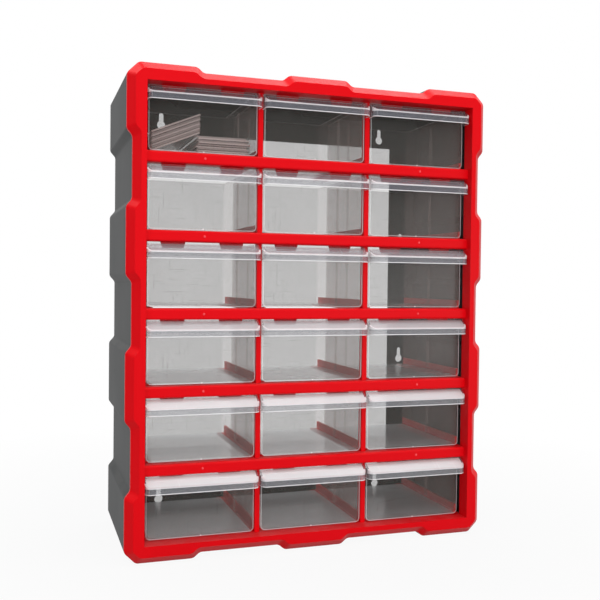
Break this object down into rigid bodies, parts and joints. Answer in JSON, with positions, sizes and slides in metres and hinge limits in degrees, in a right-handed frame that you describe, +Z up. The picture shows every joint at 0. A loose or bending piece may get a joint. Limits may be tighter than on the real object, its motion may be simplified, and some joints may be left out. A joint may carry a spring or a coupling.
{
  "type": "parts bin cabinet",
  "caption": "Upright small-parts cabinet: red castellated front frame on a dark case, with three columns of clear hooded drawers that slide out, and loose divider plates.",
  "frame": {"origin": "middle of the base, under the centre of the bounding box", "axes": "+Z up, +X to the right seen from the front, +Y towards the back"},
  "size_m": [0.38, 0.16, 0.475],
  "materials": {
    "frame_red": "moulded, semi-gloss",
    "case_grey": "moulded, satin",
    "drawer_clear": "clear, slightly cloudy",
    "divider_clear": "clear, slightly cloudy"
  },
  "bodies": {
    "cabinet": {"front_frame": "frame_red", "case": "case_grey", "runners_left_wall": "frame_red", "runners_left_column": "frame_red", "runners_right_column": "frame_red", "runners_right_wall": "frame_red"},
    "tray_row1_left": {"drawer_row1_left": "drawer_clear", "divider_01": "divider_clear", "divider_02": "divider_clear", "divider_03": "divider_clear", "divider_04": "divider_clear", "divider_05": "divider_clear", "divider_06": "divider_clear", "divider_07": "divider_clear", "divider_08": "divider_clear", "divider_09": "divider_clear", "divider_10": "divider_clear", "divider_11": "divider_clear", "divider_12": "divider_clear", "divider_13": "divider_clear", "divider_14": "divider_clear", "divider_15": "divider_clear", "divider_16": "divider_clear", "divider_17": "divider_clear", "divider_18": "divider_clear"},
    "tray_row1_middle": {"drawer_row1_middle": "drawer_clear"},
    "tray_row1_right": {"drawer_row1_right": "drawer_clear"},
    "tray_row2_left": {"drawer_row2_left": "drawer_clear"},
    "tray_row2_middle": {"drawer_row2_middle": "drawer_clear"},
    "tray_row2_right": {"drawer_row2_right": "drawer_clear"},
    "tray_row3_left": {"drawer_row3_left": "drawer_clear"},
    "tray_row3_middle": {"drawer_row3_middle": "drawer_clear"},
    "tray_row3_right": {"drawer_row3_right": "drawer_clear"},
    "tray_row4_left": {"drawer_row4_left": "drawer_clear"},
    "tray_row4_middle": {"drawer_row4_middle": "drawer_clear"},
    "tray_row4_right": {"drawer_row4_right": "drawer_clear"},
    "tray_row5_left": {"drawer_row5_left": "drawer_clear"},
    "tray_row5_middle": {"drawer_row5_middle": "drawer_clear"},
    "tray_row5_right": {"drawer_row5_right": "drawer_clear"},
    "tray_row6_left": {"drawer_row6_left": "drawer_clear"},
    "tray_row6_middle": {"drawer_row6_middle": "drawer_clear"},
    "tray_row6_right": {"drawer_row6_right": "drawer_clear"}
  },
  "joints": [
    {"name": "slide_row1_left", "type": "slide", "parent": "cabinet", "child": "tray_row1_left", "axis": [0, -1, 0], "range_m": [0, 0.127]},
    {"name": "slide_row1_middle", "type": "slide", "parent": "cabinet", "child": "tray_row1_middle", "axis": [0, -1, 0], "range_m": [0, 0.127]},
    {"name": "slide_row1_right", "type": "slide", "parent": "cabinet", "child": "tray_row1_right", "axis": [0, -1, 0], "range_m": [0, 0.127]},
    {"name": "slide_row2_left", "type": "slide", "parent": "cabinet", "child": "tray_row2_left", "axis": [0, -1, 0], "range_m": [0, 0.127]},
    {"name": "slide_row2_middle", "type": "slide", "parent": "cabinet", "child": "tray_row2_middle", "axis": [0, -1, 0], "range_m": [0, 0.127]},
    {"name": "slide_row2_right", "type": "slide", "parent": "cabinet", "child": "tray_row2_right", "axis": [0, -1, 0], "range_m": [0, 0.127]},
    {"name": "slide_row3_left", "type": "slide", "parent": "cabinet", "child": "tray_row3_left", "axis": [0, -1, 0], "range_m": [0, 0.127]},
    {"name": "slide_row3_middle", "type": "slide", "parent": "cabinet", "child": "tray_row3_middle", "axis": [0, -1, 0], "range_m": [0, 0.127]},
    {"name": "slide_row3_right", "type": "slide", "parent": "cabinet", "child": "tray_row3_right", "axis": [0, -1, 0], "range_m": [0, 0.127]},
    {"name": "slide_row4_left", "type": "slide", "parent": "cabinet", "child": "tray_row4_left", "axis": [0, -1, 0], "range_m": [0, 0.127]},
    {"name": "slide_row4_middle", "type": "slide", "parent": "cabinet", "child": "tray_row4_middle", "axis": [0, -1, 0], "range_m": [0, 0.127]},
    {"name": "slide_row4_right", "type": "slide", "parent": "cabinet", "child": "tray_row4_right", "axis": [0, -1, 0], "range_m": [0, 0.127]},
    {"name": "slide_row5_left", "type": "slide", "parent": "cabinet", "child": "tray_row5_left", "axis": [0, -1, 0], "range_m": [0, 0.127]},
    {"name": "slide_row5_middle", "type": "slide", "parent": "cabinet", "child": "tray_row5_middle", "axis": [0, -1, 0], "range_m": [0, 0.127]},
    {"name": "slide_row5_right", "type": "slide", "parent": "cabinet", "child": "tray_row5_right", "axis": [0, -1, 0], "range_m": [0, 0.127]},
    {"name": "slide_row6_left", "type": "slide", "parent": "cabinet", "child": "tray_row6_left", "axis": [0, -1, 0], "range_m": [0, 0.127]},
    {"name": "slide_row6_middle", "type": "slide", "parent": "cabinet", "child": "tray_row6_middle", "axis": [0, -1, 0], "range_m": [0, 0.127]},
    {"name": "slide_row6_right", "type": "slide", "parent": "cabinet", "child": "tray_row6_right", "axis": [0, -1, 0], "range_m": [0, 0.127]}
  ]
}
